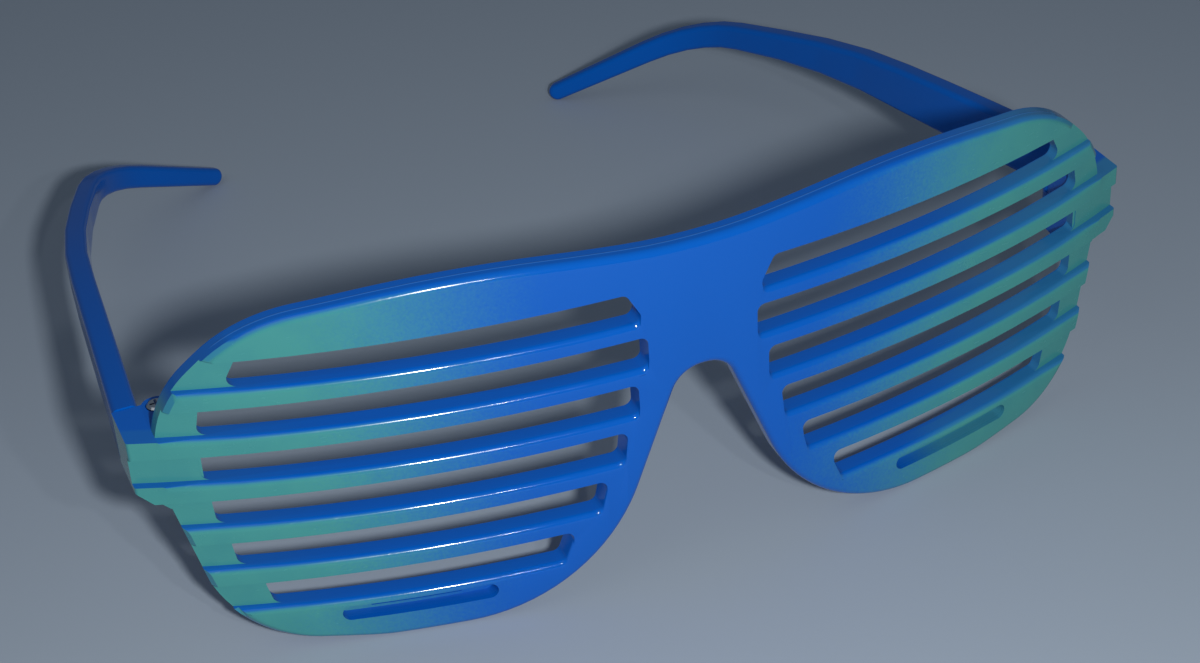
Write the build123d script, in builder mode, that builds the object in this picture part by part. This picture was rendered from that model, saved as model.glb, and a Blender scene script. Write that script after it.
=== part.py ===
"""Slatted novelty glasses: one moulded front, two folding temples, two hinge screws.

The glasses stand as worn, on the rims of both lenses and on the tips of both temples.
Millimetres, +Z up, X to the wearer's left as seen from the front, temples towards +Y.
The pieces are drawn with the front's foremost point at Y = 0, and the last section moves
them so that the origin is under the middle of the whole object, on the table.
"""
from math import radians, sqrt, tan
import os

from build123d import *

os.makedirs("parts", exist_ok=True)

# Front: its size and the wrap of the moulded sheet
rim_half_width = 69.6
front_height = 54.6
wrap_radius = 182.0          # plan radius of the front face
front_depth = 3.0            # front face to rear face
front_edge_chamfer = 0.6     # round the whole edge of the front face

# Outline of one half as shares: x of the rim's half width, z of the front's height
outline_shares = [
    (0.000, 0.956),          # middle of the brow
    (0.075, 0.956),
    (0.463, 1.000),          # crest of the brow
    (0.829, 0.940),
    (1.000, 0.723),
    (1.000, 0.495),          # where the side starts to draw in
    (0.917, 0.042),
    (0.647, 0.000),          # outer end of the flat that the rim stands on
    (0.236, 0.000),
    (0.047, 0.608),
    (0.000, 0.608),          # top of the nose notch
]

# How far the arc of each corner between them reaches along the corner's shorter side
corner_shares = [0.85, 0.49, 0.42, 0.61, 0.28, 0.55, 0.10, 0.62, 0.92]

# Front: the slots between the slats
slot_count = 6
brow_band = 7.6              # crest of the brow to the first slot
chin_band = 7.1              # last slot to the table
slat_height = 2.1            # at the middle of the face
slot_taper = 0.6             # what a slot's roof has lost at the rim, so that the slats thicken
slot_corner_radius = 1.1
groove_depth = 1.2           # step of the rim where a slot line runs out to the side
groove_overlap = 1.3         # how far a groove reaches back into its slot

# Slot ends as shares of the rim's half width: nose end top and bottom, outer end top and bottom
slot_end_shares = [
    (0.150, 0.112, 0.838, 0.870),
    (0.112, 0.111, 0.915, 0.927),
    (0.135, 0.134, 0.931, 0.931),
    (0.160, 0.168, 0.921, 0.917),
    (0.204, 0.219, 0.901, 0.892),
    (0.272, 0.299, 0.855, 0.840),
]

# Front: the blind pocket below the last slat, with a thin slit through its back wall
pocket_length = 20.4
pocket_height = 2.3
pocket_depth = 2.1
pocket_gap = 1.05            # of wall between the last slot and the pocket
pocket_share = 0.58          # place of its middle along the rim's half width
slit_length = 12.0
slit_height = 0.5
slit_rise = 0.4              # of the slit above the pocket's floor

# End pieces, which carry the hinges behind the rim
lug_reach = 3.4              # outwards beyond the rim
lug_overlap = 5.2            # inwards behind the rim
lug_length = 9.1             # rearwards from the rim's front face
lug_height = 7.9
lug_slope = 3.4              # how far its underside rises towards the outer corner
lug_slope_start = 0.6        # inside the rim's edge
lug_corner_radius = 0.6

# Hinge
hinge_inset = 5.7            # from the end piece's outer face
hinge_setback = 0.9          # from the end piece's rear
knuckle_radius = 2.0
knuckle_share = 0.33         # height of the temple's knuckle in the end piece's height
hinge_gap = 0.25             # around the temple's knuckle
knuckle_gap = 0.12           # above and below the temple's knuckle
butt_gap = 0.15              # between the end piece and the open temple

# Hinge screw
shank_radius = 0.70
shank_bore_clearance = 0.05
thread_bite = 0.06
head_radius = 1.30
head_height = 0.75
head_seat_depth = 0.45
head_seat_clearance = 0.15
head_edge_chamfer = 0.25
cross_width = 0.35
cross_length = 1.7
cross_depth = 0.45
screw_tip_gap = 0.6          # from the screw's end to the underside of the hinge

# Temple: the corners of its centre line, each measured from the one before
shoulder_run = 64.0          # rearwards
shoulder_inset = 5.4         # inwards
arm_run = 34.0
arm_inset = 10.2
hook_run = 14.8
hook_inset = 22.5
shoulder_height_share = 0.72     # of the height of the temple's root above the table
bend_height_share = 0.494
shoulder_radius = 150.0
bend_radius = 30.0

# Temple: the section
root_thickness = 3.45
root_height_share = 1.05     # of the end piece's height
bend_thickness = 3.3
bend_height = 4.5
tip_thickness = 2.5
tip_height = 3.1
temple_edge_radius = 0.9
temple_web_length = 3.6      # of the web from the knuckle into the temple
taper_power = 1.8            # how late the arm's taper sets in
arm_steps = 8                # lofted steps from the root to the bend
bend_steps = 5               # lofted steps round the bend


def wrap_y(x):
    """Y of the front face at a distance x from the middle."""
    return wrap_radius - sqrt(wrap_radius**2 - x**2)


def corner_radii(points, shares):
    """Radius of each corner of a line, from how far its arc reaches along the shorter side."""
    radii = []
    for before, corner, after, share in zip(points, points[1:], points[2:], shares):
        side_in = Vector(*corner) - Vector(*before)
        side_out = Vector(*after) - Vector(*corner)
        turn = radians(side_in.get_angle(side_out))
        radii.append(share * min(side_in.length, side_out.length) / tan(turn / 2))
    return radii


def slot_roof(row, x):
    """Height of a slot's roof at a distance x from the middle."""
    return first_slot_top - row * slot_pitch - slot_taper * x / rim_half_width


def slot_floor(row):
    """Height of a slot's floor."""
    return first_slot_top - row * slot_pitch - slot_height


def taper(share):
    """How far the temple has tapered at a share of the way from its root to the bend."""
    progress = share**taper_power
    return progress**2 * (3 - 2 * progress)


def slot_corners(row):
    """The four corners of one slot on the right-hand lens, as (x, z)."""
    nose_top, nose_bottom, outer_top, outer_bottom = slot_end_shares[row]
    return [
        (nose_top * rim_half_width, slot_roof(row, nose_top * rim_half_width)),
        (outer_top * rim_half_width, slot_roof(row, outer_top * rim_half_width)),
        (outer_bottom * rim_half_width, slot_floor(row)),
        (nose_bottom * rim_half_width, slot_floor(row)),
    ]


# Worked out: the front
cut_margin = front_depth
first_slot_top = front_height - brow_band
slot_pitch = (first_slot_top - chin_band + slat_height) / slot_count
slot_height = slot_pitch - slat_height
outline = [(x * rim_half_width, z * front_height) for x, z in outline_shares]
pocket_x = pocket_share * rim_half_width
pocket_z = chin_band - pocket_gap - pocket_height / 2
slit_z = pocket_z - pocket_height / 2 + slit_rise + slit_height / 2

# Worked out: the end piece and the hinge
lug_outer_x = rim_half_width + lug_reach
lug_inner_x = rim_half_width - lug_overlap
lug_rear_y = wrap_y(rim_half_width) + lug_length
lug_top = slot_floor(1)
lug_foot_height = lug_top - lug_height
lug_root_height = lug_foot_height - lug_slope
wrap_reach = lug_rear_y + cut_margin
hinge_x = lug_outer_x - hinge_inset
hinge_y = lug_rear_y - hinge_setback
hinge_middle_height = lug_top - lug_height / 2
knuckle_height = knuckle_share * lug_height
knuckle_low = hinge_middle_height - knuckle_height / 2

# Worked out: the temple
temple_front_y = lug_rear_y + butt_gap
temple_inner_x = hinge_x + knuckle_radius + hinge_gap
root_height = root_height_share * lug_height
temple_root = Vector(temple_inner_x + root_thickness / 2, temple_front_y, hinge_middle_height)
temple_shoulder = Vector(
    temple_root.X - shoulder_inset,
    temple_root.Y + shoulder_run,
    shoulder_height_share * hinge_middle_height,
)
temple_bend = Vector(
    temple_shoulder.X - arm_inset,
    temple_shoulder.Y + arm_run,
    bend_height_share * hinge_middle_height,
)
temple_tip = Vector(
    temple_bend.X - hook_inset,
    temple_bend.Y + hook_run,
    tip_height / 2,
)


# Grooves: the slot lines run on across the rim's outer post as shallow steps
with BuildPart() as groove_cutter:
    with BuildSketch(Plane.XY):
        with Locations((0, wrap_radius)):
            Circle(wrap_radius + cut_margin)
            Circle(wrap_radius - groove_depth, mode=Mode.SUBTRACT)
    extrude(amount=front_height)
    with BuildSketch(Plane.XZ) as groove_bands:
        for row in range(slot_count):
            start = min(slot_end_shares[row][2:]) * rim_half_width - groove_overlap
            end = lug_outer_x + cut_margin
            Polygon(
                (start, slot_floor(row)),
                (end, slot_floor(row)),
                (end, slot_roof(row, end)),
                (start, slot_roof(row, start)),
                align=None,
            )
        mirror(about=Plane.YZ)
    extrude(amount=-wrap_reach, mode=Mode.INTERSECT)

# Pockets: the short blind slots below the last slat, at an even depth in the wrapped face
with BuildPart() as pocket_cutter:
    with BuildSketch(Plane.XY):
        with Locations((0, wrap_radius)):
            Circle(wrap_radius + cut_margin)
            Circle(wrap_radius - pocket_depth, mode=Mode.SUBTRACT)
    extrude(amount=front_height)
    with BuildSketch(Plane.XZ):
        with Locations((pocket_x, pocket_z), (-pocket_x, pocket_z)):
            SlotOverall(pocket_length, pocket_height)
    extrude(amount=-wrap_reach, mode=Mode.INTERSECT)

# One end piece with its two hinge knuckles, on the right-hand side
with BuildPart() as end_piece:
    with BuildSketch(Plane.XY.offset(lug_root_height)):
        Polygon(
            (lug_inner_x, wrap_y(lug_inner_x) + front_depth / 2),
            (lug_outer_x, wrap_y(lug_outer_x)),
            (lug_outer_x, lug_rear_y),
            (hinge_x, lug_rear_y),
            (hinge_x - knuckle_radius, hinge_y),
            align=None,
        )
        with Locations((hinge_x, hinge_y)):
            Circle(knuckle_radius)
    extrude(amount=lug_top - lug_root_height)
    with BuildSketch(Plane.XZ):
        Polygon(
            (0, lug_root_height),
            (rim_half_width - lug_slope_start, lug_root_height),
            (lug_outer_x, lug_foot_height),
            (lug_outer_x, lug_top),
            (0, lug_top),
            align=None,
        )
    extrude(amount=-(hinge_y + knuckle_radius), mode=Mode.INTERSECT)
    corner = end_piece.edges().filter_by(Axis.Z).group_by(Axis.X)[-1].sort_by(Axis.Y)[0]
    fillet(corner, lug_corner_radius)
    # The barrels are as short as the temple's root, so the space below them is cleared
    with BuildSketch(Plane.XY.offset(lug_root_height)):
        with Locations((hinge_x, hinge_y)):
            Circle(knuckle_radius + hinge_gap)
    extrude(amount=lug_foot_height - lug_root_height, mode=Mode.SUBTRACT)
    with BuildSketch(Plane.XY.offset(knuckle_low - knuckle_gap)):
        with Locations((hinge_x, hinge_y)):
            Circle(knuckle_radius + hinge_gap)
    extrude(amount=knuckle_height + 2 * knuckle_gap, mode=Mode.SUBTRACT)

# The front: a wrapped sheet cut to the outline, then opened by the slots
with BuildPart() as front_moulding:
    with BuildSketch(Plane.XY):
        with Locations((0, wrap_radius)):
            Circle(wrap_radius)
            Circle(wrap_radius - front_depth, mode=Mode.SUBTRACT)
    extrude(amount=front_height)
    with BuildSketch(Plane.XZ):
        with BuildLine():
            edge = FilletPolyline(*outline, radius=corner_radii(outline, corner_shares))
            Line(edge @ 1, edge @ 0)
        make_face()
        mirror(about=Plane.YZ)
    extrude(amount=-wrap_reach, mode=Mode.INTERSECT)
    wrapped = front_moulding.faces().filter_by(GeomType.CYLINDER)
    front_face = wrapped.filter_by(lambda face: face.radius == wrap_radius)[0]
    chamfer(front_face.edges(), front_edge_chamfer)
    with BuildSketch(Plane.XZ) as slots:
        for row in range(slot_count):
            Polygon(*slot_corners(row), align=None)
        fillet(slots.vertices(), slot_corner_radius)
        mirror(about=Plane.YZ)
    extrude(amount=-wrap_reach, mode=Mode.SUBTRACT)
    add(end_piece.part)
    add(end_piece.part.mirror(Plane.YZ))
    add(groove_cutter.part, mode=Mode.SUBTRACT)
    add(pocket_cutter.part, mode=Mode.SUBTRACT)
    with BuildSketch(Plane.XZ):
        with Locations((pocket_x, slit_z)):
            SlotOverall(slit_length, slit_height)
        mirror(about=Plane.YZ)
    extrude(amount=-wrap_reach, mode=Mode.SUBTRACT)
    # Screw seats and bores: free in the upper knuckle, tapped by the screw in the lower one
    with Locations((hinge_x, hinge_y, lug_top), (-hinge_x, hinge_y, lug_top)):
        CounterBoreHole(
            radius=shank_radius + shank_bore_clearance,
            counter_bore_radius=head_radius + head_seat_clearance,
            counter_bore_depth=head_seat_depth,
            depth=lug_top - hinge_middle_height,
        )
    with Locations((hinge_x, hinge_y, hinge_middle_height), (-hinge_x, hinge_y, hinge_middle_height)):
        Hole(radius=shank_radius - thread_bite, depth=hinge_middle_height)

# The temple's centre line, from its root behind the hinge to its tip on the table
with BuildLine() as centre_line:
    FilletPolyline(
        temple_root,
        temple_shoulder,
        temple_bend,
        temple_tip,
        radius=(shoulder_radius, bend_radius),
    )
route = centre_line.wire()
tip_along = route % 1
tip_across = Vector(tip_along.Y, -tip_along.X, 0)

# The round end of the temple's tip
with BuildPart() as tip_pad:
    with BuildSketch(Plane(origin=route @ 1, x_dir=tip_along, z_dir=tip_across)):
        Circle(tip_height / 2)
    extrude(amount=tip_thickness / 2, both=True)
    fillet(tip_pad.edges().filter_by(GeomType.CIRCLE), temple_edge_radius)

# The left temple: ruled lofts through rounded sections along the centre line
with BuildPart() as temple_moulding:
    bend_end = 1 - route.edges()[-1].length / route.length
    bend_start = bend_end - route.edges()[-2].length / route.length
    # Each section: share of the centre line's length, thickness and height
    sections = [
        (
            bend_start * step / arm_steps,
            root_thickness + (bend_thickness - root_thickness) * taper(step / arm_steps),
            root_height + (bend_height - root_height) * taper(step / arm_steps),
        )
        for step in range(arm_steps)
    ]
    hook_shares = [
        bend_start + (bend_end - bend_start) * step / bend_steps for step in range(bend_steps + 1)
    ]
    for share in hook_shares + [1]:
        worn = (share - bend_start) / (1 - bend_start)
        thickness = bend_thickness + (tip_thickness - bend_thickness) * worn
        height = bend_height + (tip_height - bend_height) * worn
        sections.append((share, thickness, height))
    for share, thickness, height in sections:
        along = route % share if share else Vector(0, 1, 0)
        across = Vector(along.Y, -along.X, 0)
        with BuildSketch(Plane(origin=route @ share, x_dir=across, z_dir=along)):
            RectangleRounded(thickness, height, temple_edge_radius)
    loft(ruled=True)
    add(tip_pad.part)
    # The knuckle and the web that ties it to the temple's root
    with BuildSketch(Plane.XY.offset(knuckle_low)):
        with Locations((hinge_x, hinge_y)):
            Circle(knuckle_radius)
        Polygon(
            (hinge_x, temple_front_y),
            (temple_root.X, temple_front_y),
            (temple_root.X, temple_front_y + temple_web_length),
            (hinge_x, hinge_y + knuckle_radius),
            align=None,
        )
    extrude(amount=knuckle_height)
    with Locations((hinge_x, hinge_y, knuckle_low + knuckle_height)):
        Hole(radius=shank_radius + shank_bore_clearance, depth=knuckle_height)

# The left hinge screw: a turned blank with a cross recess
head_seat_z = lug_top - head_seat_depth
screw_end_z = lug_foot_height + screw_tip_gap
with BuildPart() as screw_blank:
    with BuildSketch(Plane(origin=(hinge_x, hinge_y, 0), x_dir=(1, 0, 0), z_dir=(0, -1, 0))) as half:
        Polygon(
            (0, screw_end_z),
            (shank_radius - thread_bite, screw_end_z),
            (shank_radius, screw_end_z + screw_tip_gap),
            (shank_radius, head_seat_z),
            (head_radius, head_seat_z),
            (head_radius, head_seat_z + head_height),
            (0, head_seat_z + head_height),
            align=None,
        )
        rim = half.vertices().group_by(Axis.Y)[-1].sort_by(Axis.X)[-1]
        chamfer(rim, head_edge_chamfer)
    revolve(axis=Axis((hinge_x, hinge_y, 0), (0, 0, 1)))
    with BuildSketch(Plane.XY.offset(head_seat_z + head_height)):
        with Locations((hinge_x, hinge_y)):
            Rectangle(cross_length, cross_width)
            Rectangle(cross_width, cross_length)
    extrude(amount=-cross_depth, mode=Mode.SUBTRACT)

# Stand the glasses over the origin: the middle of their depth, on the table
depth_middle = (
    front_moulding.part.bounding_box().min.Y + temple_moulding.part.bounding_box().max.Y
) / 2
stand = Location((0, -depth_middle, 0))

with BuildPart() as front:
    with Locations(stand):
        add(front_moulding.part)
front.part.label = "front"
export_step(front.part, "parts/front.step")

with BuildPart() as left_temple:
    with Locations(stand):
        add(temple_moulding.part)
left_temple.part.label = "left_temple"
export_step(left_temple.part, "parts/left_temple.step")

with BuildPart() as right_temple:
    add(left_temple.part.mirror(Plane.YZ))
right_temple.part.label = "right_temple"
export_step(right_temple.part, "parts/right_temple.step")

with BuildPart() as left_hinge_screw:
    with Locations(stand):
        add(screw_blank.part)
left_hinge_screw.part.label = "left_hinge_screw"
export_step(left_hinge_screw.part, "parts/left_hinge_screw.step")

with BuildPart() as right_hinge_screw:
    add(left_hinge_screw.part.mirror(Plane.YZ))
right_hinge_screw.part.label = "right_hinge_screw"
export_step(right_hinge_screw.part, "parts/right_hinge_screw.step")
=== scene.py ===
import math

import bpy
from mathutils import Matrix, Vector


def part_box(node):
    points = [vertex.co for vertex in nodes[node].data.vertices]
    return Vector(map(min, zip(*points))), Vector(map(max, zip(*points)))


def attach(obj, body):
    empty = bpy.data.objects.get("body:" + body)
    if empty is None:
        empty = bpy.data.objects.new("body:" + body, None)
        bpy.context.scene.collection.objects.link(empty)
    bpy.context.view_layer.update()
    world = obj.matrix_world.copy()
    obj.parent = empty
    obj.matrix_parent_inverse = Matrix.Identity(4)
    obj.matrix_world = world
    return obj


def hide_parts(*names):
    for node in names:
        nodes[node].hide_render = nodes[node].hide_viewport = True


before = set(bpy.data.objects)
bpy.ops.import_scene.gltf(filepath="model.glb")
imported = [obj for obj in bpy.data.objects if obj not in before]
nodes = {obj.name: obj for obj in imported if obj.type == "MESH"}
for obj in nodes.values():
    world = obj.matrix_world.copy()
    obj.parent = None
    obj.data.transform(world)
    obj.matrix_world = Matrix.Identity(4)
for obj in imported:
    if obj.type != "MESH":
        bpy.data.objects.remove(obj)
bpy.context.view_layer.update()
bpy.ops.object.select_all(action="DESELECT")

# The table and the light: a plain pale table top, a small lamp close to the camera,
# a smaller one beside it that draws the glints along the slats, a wide weak one from
# the upper left, and a dim even surround that the glossy plastic can mirror.
TABLE_SIDE = 5.0
bpy.ops.mesh.primitive_plane_add(size=1.0, location=(0, 0.25, 0))
table = bpy.context.object
table.name = "table"
bpy.ops.object.mode_set(mode="EDIT")
bpy.ops.transform.resize(value=(TABLE_SIDE, TABLE_SIDE, 1.0))
bpy.ops.object.mode_set(mode="OBJECT")
table_paint = bpy.data.materials.new("table_top")
table_paint.use_nodes = True
coat = table_paint.node_tree.nodes["Principled BSDF"]
coat.inputs["Base Color"].default_value = (0.34, 0.40, 0.47, 1)
coat.inputs["Roughness"].default_value = 0.6
coat.inputs["Specular IOR Level"].default_value = 0.15
table.data.materials.append(table_paint)

# The camera stands and looks as the photograph's did
camera_data = bpy.data.cameras.new("camera")
camera_data.sensor_width = 36.0
camera_data.lens = 71.4074
camera_data.clip_start = 0.01
camera = bpy.data.objects.new("camera", camera_data)
camera.location = (-0.104829, -0.301342, 0.208682)
camera.rotation_euler = (math.radians(56.3546), math.radians(3.0398), math.radians(-23.277))
bpy.context.scene.collection.objects.link(camera)
bpy.context.scene.camera = camera

for name, place, aim, size, watts in (
    ("key", (-0.070, -0.316, 0.203), (0.0, -0.03, 0.0), 0.020, 0.83),
    ("glint", (-0.026, -0.330, 0.203), (0.0, -0.03, 0.0), 0.010, 0.10),
    ("fill", (-0.45, -0.20, 0.70), (0.0, 0.0, 0.02), 0.60, 0.35),
):
    lamp = bpy.data.lights.new(name, "AREA")
    lamp.shape = "DISK"
    lamp.size = size
    lamp.energy = watts
    holder = bpy.data.objects.new(name, lamp)
    holder.location = place
    holder.rotation_euler = (Vector(aim) - Vector(place)).to_track_quat("-Z", "Y").to_euler()
    bpy.context.scene.collection.objects.link(holder)

world = bpy.data.worlds.new("room")
world.use_nodes = True
world.node_tree.nodes["Background"].inputs["Color"].default_value = (0.66, 0.80, 1.0, 1)
world.node_tree.nodes["Background"].inputs["Strength"].default_value = 0.135
bpy.context.scene.world = world
bpy.context.scene.view_settings.view_transform = "Standard"

# The front: one moulding in glossy blue plastic, its slats well rounded along their
# upper front edges. Mint green was sprayed on it from the front, most at both outer
# ends, so that the colour dies away towards the bridge and misses the slats' tops.
WRAP_RADIUS = 0.182
WRAP_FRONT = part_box("front")[0].y
MERGE_DISTANCE = 1e-6
FLAT_ANGLE = math.radians(0.6)
FRONT_SMOOTH_ANGLE = math.radians(32)
BLUE = (0.001, 0.098, 0.470, 1)
MINT = (0.054, 0.278, 0.262, 1)
THIN_MINT = (0.034, 0.214, 0.250, 1)


def moulded_copy(name, flat_angle=0.0):
    """A copy of a node to be dressed, its triangles merged into one skin, and into larger
    faces where they turn by less than an angle."""
    bpy.ops.object.select_all(action="DESELECT")
    bpy.context.view_layer.objects.active = nodes[name]
    nodes[name].select_set(True)
    bpy.ops.object.duplicate()
    copy = bpy.context.object
    copy.name = "moulded_" + name
    bpy.ops.object.mode_set(mode="EDIT")
    bpy.ops.mesh.select_all(action="SELECT")
    bpy.ops.mesh.remove_doubles(threshold=MERGE_DISTANCE)
    bpy.ops.mesh.customdata_custom_splitnormals_clear()
    if flat_angle:
        bpy.ops.mesh.dissolve_limited(angle_limit=flat_angle)
    bpy.ops.object.mode_set(mode="OBJECT")
    return copy


def within(value, span):
    """Whether a value lies between the two limits of a span."""
    return span[0] < value < span[1]


def behind_face(point):
    """How far a point lies behind the wrapped face, and the way from it to the face."""
    forward = Vector((point.x, point.y - WRAP_FRONT - WRAP_RADIUS, 0.0))
    return WRAP_RADIUS - forward.length, forward.normalized()


def edges_of_front():
    """Each edge with its middle, its depth behind the face, and its two faces as pairs of
    (turn towards the front, normal), the one that is turned away more coming first."""
    normals = {}
    for polygon in front.data.polygons:
        for key in polygon.edge_keys:
            normals.setdefault(key, []).append(polygon.normal)
    for edge in front.data.edges:
        first, second = (front.data.vertices[index].co for index in edge.vertices)
        middle = (first + second) / 2
        behind, forward = behind_face(middle)
        sides = (normals[edge.key][0], normals[edge.key][-1])
        turned = [(normal.dot(forward), normal) for normal in sides]
        away, along = sorted(turned, key=lambda side: side[0])
        yield edge, middle, behind, away, along


def round_edges(name, radius, segments):
    """Round each edge of the front by its weight's share of a radius."""
    bevel = front.modifiers.new(name, "BEVEL")
    bevel.width = radius
    bevel.segments = segments
    bevel.limit_method = "WEIGHT"
    bevel.use_clamp_overlap = False
    bpy.ops.object.modifier_apply(modifier=bevel.name)


front = moulded_copy("front", FLAT_ANGLE)

# The ribs run on over the end pieces, all but flush with the face of the front
RIBS_OUT = (0.0685, 0.0722)
RIBS_UP = (0.0235, 0.0362)
RIBS_BEHIND = (0.0003, 0.0008)
RIBS_LEFT_BEHIND = 0.00006
for vertex in front.data.vertices:
    behind, forward = behind_face(vertex.co)
    on_rib = within(abs(vertex.co.x), RIBS_OUT) and within(vertex.co.z, RIBS_UP)
    if on_rib and within(behind, RIBS_BEHIND):
        vertex.co += forward * (behind - RIBS_LEFT_BEHIND)

# The upper front edge of each slat is well rounded, from the nose to the rim, and less
# so the more it turns to the side; the chamfer round the front has two small radii
SLATS_OUT = 0.069
SLATS_UP = (0.006, 0.044)
ON_FACE = 0.0001
FACES_FRONT = 0.95
SLAT_TOP_TURN = 0.2
SLAT_UPTURN = (0.1, 0.9)
SLAT_RADIUS = 0.0009
CHAMFER_OUT = 0.063
CHAMFER_TURN = (0.6, 0.8)
CHAMFER_EDGE_TURN = 0.15
CHAMFER_WEIGHT = 0.4
weights = front.data.attributes.new("bevel_weight_edge", "FLOAT", "EDGE")
for edge, middle, behind, away, along in edges_of_front():
    on_slat = abs(middle.x) < SLATS_OUT and within(middle.z, SLATS_UP) and abs(behind) < ON_FACE
    before_chamfer = along[0] > FACES_FRONT and within(away[0], CHAMFER_TURN)
    after_chamfer = within(along[0], CHAMFER_TURN) and away[0] < CHAMFER_EDGE_TURN
    if on_slat and along[0] > FACES_FRONT and away[0] < SLAT_TOP_TURN:
        upturn = (away[1].z - SLAT_UPTURN[0]) / (SLAT_UPTURN[1] - SLAT_UPTURN[0])
        weights.data[edge.index].value = min(max(upturn, 0.0), 1.0)
    elif abs(middle.x) < CHAMFER_OUT and (before_chamfer or after_chamfer):
        weights.data[edge.index].value = CHAMFER_WEIGHT
round_edges("slat_radius", SLAT_RADIUS, segments=5)

# The upright edge where each recess in the rim's post opens into its slot is softened too
RECESS_OUT = (0.050, 0.062)
RECESS_TOP = 0.040
RECESS_BEHIND = (0.0010, 0.0014)
RECESS_FLOOR_TURN = 0.9
RECESS_WALL_TURN = 0.4
RECESS_EDGE_HEIGHT = 0.0015
RECESS_RADIUS = 0.0004
weights = front.data.attributes["bevel_weight_edge"]
for edge, middle, behind, away, along in edges_of_front():
    one_end, other_end = (front.data.vertices[index].co.z for index in edge.vertices)
    upright = abs(one_end - other_end) > RECESS_EDGE_HEIGHT
    beside_slot = within(abs(middle.x), RECESS_OUT) and middle.z < RECESS_TOP
    on_floor = along[0] > RECESS_FLOOR_TURN and within(behind, RECESS_BEHIND)
    opens = on_floor and away[0] < RECESS_WALL_TURN
    weights.data[edge.index].value = float(upright and beside_slot and opens)
round_edges("recess_radius", RECESS_RADIUS, segments=3)
bpy.ops.object.shade_smooth_by_angle(angle=FRONT_SMOOTH_ANGLE)

# Every moulded piece shares one skin: a faint orange peel from the polished mould,
# hairline rub marks, and finger grease that dulls the gloss in patches.
skin = bpy.data.node_groups.new("moulded_skin", "ShaderNodeTree")
for name, usual in (("Peel", 0.04), ("Gloss", 0.16), ("Wear", 0.5)):
    socket = skin.interface.new_socket(name=name, in_out="INPUT", socket_type="NodeSocketFloat")
    socket.default_value = usual
for name in ("Roughness", "Height"):
    skin.interface.new_socket(name=name, in_out="OUTPUT", socket_type="NodeSocketFloat")
put = skin.nodes.new("NodeGroupOutput")
get = skin.nodes.new("NodeGroupInput")
place = skin.nodes.new("ShaderNodeTexCoord")
peel = skin.nodes.new("ShaderNodeTexNoise")
peel.inputs["Scale"].default_value = 420.0
peel.inputs["Detail"].default_value = 2.0
smear = skin.nodes.new("ShaderNodeTexNoise")
smear.inputs["Scale"].default_value = 70.0
smear.inputs["Detail"].default_value = 6.0
smear.inputs["Roughness"].default_value = 0.62
rub_place = skin.nodes.new("ShaderNodeMapping")
rub_place.inputs["Rotation"].default_value = (0.3, 0.2, 0.5)
rub_place.inputs["Scale"].default_value = (1.0, 14.0, 14.0)
rub = skin.nodes.new("ShaderNodeTexNoise")
rub.inputs["Scale"].default_value = 130.0
rub.inputs["Detail"].default_value = 3.0
rub_lines = skin.nodes.new("ShaderNodeMapRange")
rub_lines.inputs["From Min"].default_value = 0.64
rub_lines.inputs["From Max"].default_value = 0.74
peel_height = skin.nodes.new("ShaderNodeMath")
peel_height.operation = "MULTIPLY"
rub_height = skin.nodes.new("ShaderNodeMath")
rub_height.operation = "MULTIPLY_ADD"
rub_height.inputs[1].default_value = -0.02
smear_range = skin.nodes.new("ShaderNodeMapRange")
smear_range.inputs["From Min"].default_value = 0.42
smear_range.inputs["From Max"].default_value = 0.68
smear_range.inputs["To Max"].default_value = 0.16
smear_share = skin.nodes.new("ShaderNodeMath")
smear_share.operation = "MULTIPLY"
gloss = skin.nodes.new("ShaderNodeMath")
gloss.operation = "ADD"
rub_rough = skin.nodes.new("ShaderNodeMath")
rub_rough.operation = "MULTIPLY_ADD"
rub_rough.inputs[1].default_value = 0.12
for source, target in (
    (place.outputs["Object"], peel.inputs["Vector"]),
    (place.outputs["Object"], smear.inputs["Vector"]),
    (place.outputs["Object"], rub_place.inputs["Vector"]),
    (rub_place.outputs["Vector"], rub.inputs["Vector"]),
    (rub.outputs["Fac"], rub_lines.inputs["Value"]),
    (peel.outputs["Fac"], peel_height.inputs[0]),
    (get.outputs["Peel"], peel_height.inputs[1]),
    (rub_lines.outputs["Result"], rub_height.inputs[0]),
    (peel_height.outputs["Value"], rub_height.inputs[2]),
    (smear.outputs["Fac"], smear_range.inputs["Value"]),
    (smear_range.outputs["Result"], smear_share.inputs[0]),
    (get.outputs["Wear"], smear_share.inputs[1]),
    (smear_share.outputs["Value"], gloss.inputs[0]),
    (get.outputs["Gloss"], gloss.inputs[1]),
    (rub_lines.outputs["Result"], rub_rough.inputs[0]),
    (gloss.outputs["Value"], rub_rough.inputs[2]),
    (rub_rough.outputs["Value"], put.inputs["Roughness"]),
    (rub_height.outputs["Value"], put.inputs["Height"]),
):
    skin.links.new(source, target)

sprayed = bpy.data.materials.new("sprayed_blue_plastic")
sprayed.use_nodes = True
tree = sprayed.node_tree
shader = tree.nodes["Principled BSDF"]


def math_node(operation, *values):
    """One Math node of the spray's pattern; each value is a number or a socket."""
    node = tree.nodes.new("ShaderNodeMath")
    node.operation = operation
    for socket, value in zip(node.inputs, values):
        if isinstance(value, (int, float)):
            socket.default_value = value
        else:
            tree.links.new(value, socket)
    return node.outputs["Value"]


def ramp_node(value, span):
    """A soft rise from 0 at the start of a span to 1 at its end, as at a spray's edge."""
    node = tree.nodes.new("ShaderNodeMapRange")
    node.interpolation_type = "SMOOTHSTEP"
    node.inputs["From Min"].default_value = span[0]
    node.inputs["From Max"].default_value = span[1]
    tree.links.new(value, node.inputs["Value"])
    return node.outputs["Result"]


def noise_node(scale, detail):
    """A cloudy pattern that is fixed to the front."""
    node = tree.nodes.new("ShaderNodeTexNoise")
    node.inputs["Scale"].default_value = scale
    node.inputs["Detail"].default_value = detail
    tree.links.new(where.outputs["Object"], node.inputs["Vector"])
    return node.outputs["Fac"]


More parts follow.
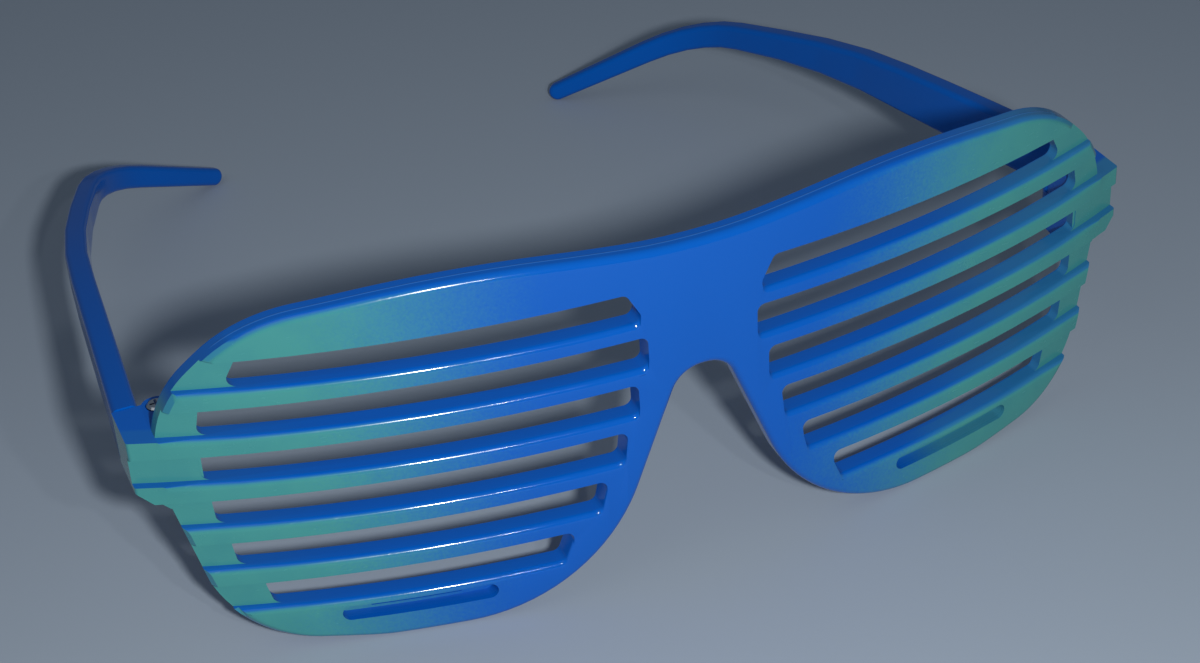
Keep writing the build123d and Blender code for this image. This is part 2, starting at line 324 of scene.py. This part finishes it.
def mix_node(factor, first, second):
    """One Mix node of two colours; each is written out or another node's socket."""
    node = tree.nodes.new("ShaderNodeMix")
    node.data_type = "RGBA"
    for name, value in (("Factor", factor), ("A", first), ("B", second)):
        if isinstance(value, tuple):
            node.inputs[name].default_value = value
        else:
            tree.links.new(value, node.inputs[name])
    return node.outputs["Result"]


where = tree.nodes.new("ShaderNodeTexCoord")
split = tree.nodes.new("ShaderNodeSeparateXYZ")
facing = tree.nodes.new("ShaderNodeSeparateXYZ")
tree.links.new(where.outputs["Object"], split.inputs["Vector"])
tree.links.new(where.outputs["Normal"], facing.inputs["Vector"])
x, y, z = split.outputs["X"], split.outputs["Y"], split.outputs["Z"]
cloud = noise_node(scale=60.0, detail=3.0)
mist = noise_node(scale=2600.0, detail=1.0)
mottle = noise_node(scale=190.0, detail=5.0)

# How far each point is from the middle, behind the face, and turned towards the front
MIDDLE = (-0.001, 0.001)
outward = math_node("ABSOLUTE", x)
left_side = ramp_node(x, MIDDLE)
from_axis = math_node("SUBTRACT", y, WRAP_FRONT + WRAP_RADIUS)
radius_x = math_node("MULTIPLY", x, x)
radius_y = math_node("MULTIPLY", from_axis, from_axis)
radius = math_node("SQRT", math_node("ADD", radius_x, radius_y))
depth = math_node("SUBTRACT", WRAP_RADIUS, radius)
turned_x = math_node("MULTIPLY", x, facing.outputs["X"])
turned_y = math_node("MULTIPLY", from_axis, facing.outputs["Y"])
from_front = math_node("DIVIDE", math_node("ADD", turned_x, turned_y), radius)

# How far out the middle of the fade lies at the table, and how it leans on its way up:
# a little inwards on the wearer's right, and outwards on the left
RIGHT_START, LEFT_START = 0.0395, 0.0237
RIGHT_LEAN, LEFT_LEAN = -0.06, 0.21
CHIN = (0.010, 0.004)
CHIN_SHIFT = 0.004
CLOUD_SHIFT = 0.004
MIST_SHIFT = 0.010
FADE = (-0.010, 0.024)
start = math_node("MULTIPLY_ADD", left_side, LEFT_START - RIGHT_START, RIGHT_START)
lean = math_node("MULTIPLY_ADD", left_side, LEFT_LEAN - RIGHT_LEAN, RIGHT_LEAN)
middle_of_fade = math_node("MULTIPLY_ADD", lean, z, start)
chin_shift = math_node("MULTIPLY", ramp_node(z, CHIN), CHIN_SHIFT)
reach = math_node("SUBTRACT", math_node("SUBTRACT", outward, middle_of_fade), chin_shift)
clouded = math_node("MULTIPLY_ADD", cloud, CLOUD_SHIFT, reach)
misted = math_node("MULTIPLY_ADD", mist, MIST_SHIFT, clouded)
along_face = ramp_node(misted, FADE)

# What the spray hits: faces turned to the front, the outer sides of the rim and of the
# end pieces, the chin's pocket on the left, and, thinly, the edges near both outer ends
SHEET_BACK = (0.0034, 0.0026)
BROW_FOOT = (0.043, 0.038)
POST_OUT = (0.060, 0.068)
END_PIECE_OUT = (0.0700, 0.0715)
HIT_TURN = (0.50, 0.985)
REAR_TURN = (0.5, 0.1)
SIDE_DRIFT_OUT = (0.045, 0.072)
SIDE_DRIFT = 0.12
LEFT_DRIFT_OUT = (0.028, 0.060)
LEFT_DRIFT = 0.42
POCKET_ROOF = (0.0075, 0.0065)
POCKET_BACK = (0.0026, 0.0022)
POCKET_OUT = (0.030, 0.040)
POCKET_SHARE = 0.7
in_sheet = ramp_node(depth, SHEET_BACK)
sideways = math_node("MULTIPLY", facing.outputs["X"], math_node("SIGN", x))
beside_post = math_node("MULTIPLY", ramp_node(outward, POST_OUT), ramp_node(z, BROW_FOOT))
open_side = math_node("MAXIMUM", in_sheet, ramp_node(outward, END_PIECE_OUT))
side_hit = math_node("MULTIPLY", sideways, math_node("MULTIPLY", beside_post, open_side))
hit = math_node("MAXIMUM", ramp_node(from_front, HIT_TURN), side_hit)
side_drift = math_node("MULTIPLY", ramp_node(outward, SIDE_DRIFT_OUT), SIDE_DRIFT)
left_drift = math_node("MULTIPLY", ramp_node(x, LEFT_DRIFT_OUT), LEFT_DRIFT)
drift = math_node("MAXIMUM", side_drift, left_drift)
not_rear = ramp_node(facing.outputs["Y"], REAR_TURN)
drifted = math_node("MULTIPLY", drift, math_node("MULTIPLY", not_rear, in_sheet))
low_down = math_node("MULTIPLY", left_side, ramp_node(z, POCKET_ROOF))
in_chin = math_node("MULTIPLY", low_down, ramp_node(depth, POCKET_BACK))
in_pocket = math_node("MULTIPLY", in_chin, ramp_node(x, POCKET_OUT))
pocket_hit = math_node("MULTIPLY", in_pocket, POCKET_SHARE)
coverage = math_node("MAXIMUM", math_node("MAXIMUM", hit, pocket_hit), drifted)
paint = math_node("MULTIPLY", along_face, coverage)

# The mould's halves meet in a fine line along the middle of the brow's edge; it is raised a
# little, and tinted a lighter blue as a painted highlight where the ridge catches the light
PARTING_DEPTH = 0.00165
PARTING_HALF_WIDTH = (0.00004, 0.00014)
PARTING_UPTURN = (0.10, 0.35)
FIRST_SLOT_ROOF = (0.0475, 0.0485)
PARTING_HIGHLIGHT_BLUE = (0.05, 0.22, 0.62, 1)
PARTING_HIGHLIGHT_SHARE = 0.6
line_off = math_node("ABSOLUTE", math_node("SUBTRACT", depth, PARTING_DEPTH))
line = math_node("SUBTRACT", 1.0, ramp_node(line_off, PARTING_HALF_WIDTH))
faces_up = ramp_node(facing.outputs["Z"], PARTING_UPTURN)
above_slots = ramp_node(z, FIRST_SLOT_ROOF)
parting = math_node("MULTIPLY", line, math_node("MULTIPLY", faces_up, above_slots))

# Where the coat of mint is thinner, in small clouds, it is darker and bluer
THIN_CLOUDS = (0.40, 0.66)
THIN_SHARE = 0.22
thinned = math_node("MULTIPLY", ramp_node(mottle, THIN_CLOUDS), THIN_SHARE)
mint = mix_node(thinned, MINT, THIN_MINT)
colour = mix_node(paint, BLUE, mint)
# The parting line's lighter blue is a painted highlight laid over the plastic's own colour
colour_with_line_highlight = mix_node(math_node("MULTIPLY", parting, PARTING_HIGHLIGHT_SHARE), colour, PARTING_HIGHLIGHT_BLUE)
tree.links.new(colour_with_line_highlight, shader.inputs["Base Color"])

# The paint is less glossy than the plastic, and the pocket in the chin has matt walls
PAINT_ROUGHNESS = 0.12
POCKET_FLOOR = (0.0034, 0.0038)
POCKET_CEILING = (0.0064, 0.0060)
POCKET_MOUTH = (0.0005, 0.0010)
POCKET_ROUGHNESS = 0.35
PARTING_RISE = 0.3
surface = tree.nodes.new("ShaderNodeGroup")
surface.node_tree = skin
surface.inputs["Peel"].default_value = 0.05
surface.inputs["Gloss"].default_value = 0.07
surface.inputs["Wear"].default_value = 0.6
painted = math_node("MULTIPLY_ADD", paint, PAINT_ROUGHNESS, surface.outputs["Roughness"])
pocket_height = math_node("MULTIPLY", ramp_node(z, POCKET_FLOOR), ramp_node(z, POCKET_CEILING))
matt = math_node("MULTIPLY", pocket_height, ramp_node(depth, POCKET_MOUTH))
dulled = math_node("MULTIPLY_ADD", matt, POCKET_ROUGHNESS, painted)
tree.links.new(dulled, shader.inputs["Roughness"])
relief = tree.nodes.new("ShaderNodeBump")
relief.inputs["Strength"].default_value = 0.35
relief.inputs["Distance"].default_value = 0.0004
raised = math_node("MULTIPLY_ADD", parting, PARTING_RISE, surface.outputs["Height"])
tree.links.new(raised, relief.inputs["Height"])
tree.links.new(relief.outputs["Normal"], shader.inputs["Normal"])
shader.inputs["IOR"].default_value = 1.5
shader.inputs["Specular IOR Level"].default_value = 0.42
front.data.materials.clear()
front.data.materials.append(sprayed)
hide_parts("front")
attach(front, "front")

# The temples: two mouldings in the same blue plastic, unpainted; each keeps the
# shape of its solid, with the long faces shaded as one smooth skin.
TEMPLE_SMOOTH_ANGLE = math.radians(40)
plain = bpy.data.materials.new("plain_blue_plastic")
plain.use_nodes = True
plain_tree = plain.node_tree
plain_shader = plain_tree.nodes["Principled BSDF"]
plain_shader.inputs["Base Color"].default_value = BLUE
plain_shader.inputs["IOR"].default_value = 1.5
plain_shader.inputs["Specular IOR Level"].default_value = 0.15
plain_skin = plain_tree.nodes.new("ShaderNodeGroup")
plain_skin.node_tree = skin
plain_skin.inputs["Peel"].default_value = 0.05
plain_skin.inputs["Gloss"].default_value = 0.08
plain_skin.inputs["Wear"].default_value = 0.45
plain_relief = plain_tree.nodes.new("ShaderNodeBump")
plain_relief.inputs["Strength"].default_value = 0.35
plain_relief.inputs["Distance"].default_value = 0.0004
plain_tree.links.new(plain_skin.outputs["Roughness"], plain_shader.inputs["Roughness"])
plain_tree.links.new(plain_skin.outputs["Height"], plain_relief.inputs["Height"])
plain_tree.links.new(plain_relief.outputs["Normal"], plain_shader.inputs["Normal"])
for name in ("left_temple", "right_temple"):
    temple = moulded_copy(name)
    bpy.ops.object.shade_smooth_by_angle(angle=TEMPLE_SMOOTH_ANGLE)
    temple.data.materials.clear()
    temple.data.materials.append(plain)
    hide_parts(name)
    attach(temple, name)

# The hinge screws: small bright steel screws with a cross recess, driven down through
# the knuckles, their polish slightly uneven.
steel = bpy.data.materials.new("screw_steel")
steel.use_nodes = True
steel_tree = steel.node_tree
steel_shader = steel_tree.nodes["Principled BSDF"]
steel_shader.inputs["Base Color"].default_value = (0.62, 0.66, 0.70, 1)
steel_shader.inputs["Metallic"].default_value = 1.0
steel_place = steel_tree.nodes.new("ShaderNodeTexCoord")
steel_noise = steel_tree.nodes.new("ShaderNodeTexNoise")
steel_noise.inputs["Scale"].default_value = 3000.0
steel_range = steel_tree.nodes.new("ShaderNodeMapRange")
steel_range.inputs["To Min"].default_value = 0.12
steel_range.inputs["To Max"].default_value = 0.30
steel_tree.links.new(steel_place.outputs["Object"], steel_noise.inputs["Vector"])
steel_tree.links.new(steel_noise.outputs["Fac"], steel_range.inputs["Value"])
steel_tree.links.new(steel_range.outputs["Result"], steel_shader.inputs["Roughness"])
for name in ("left_hinge_screw", "right_hinge_screw"):
    nodes[name].data.materials.clear()
    nodes[name].data.materials.append(steel)
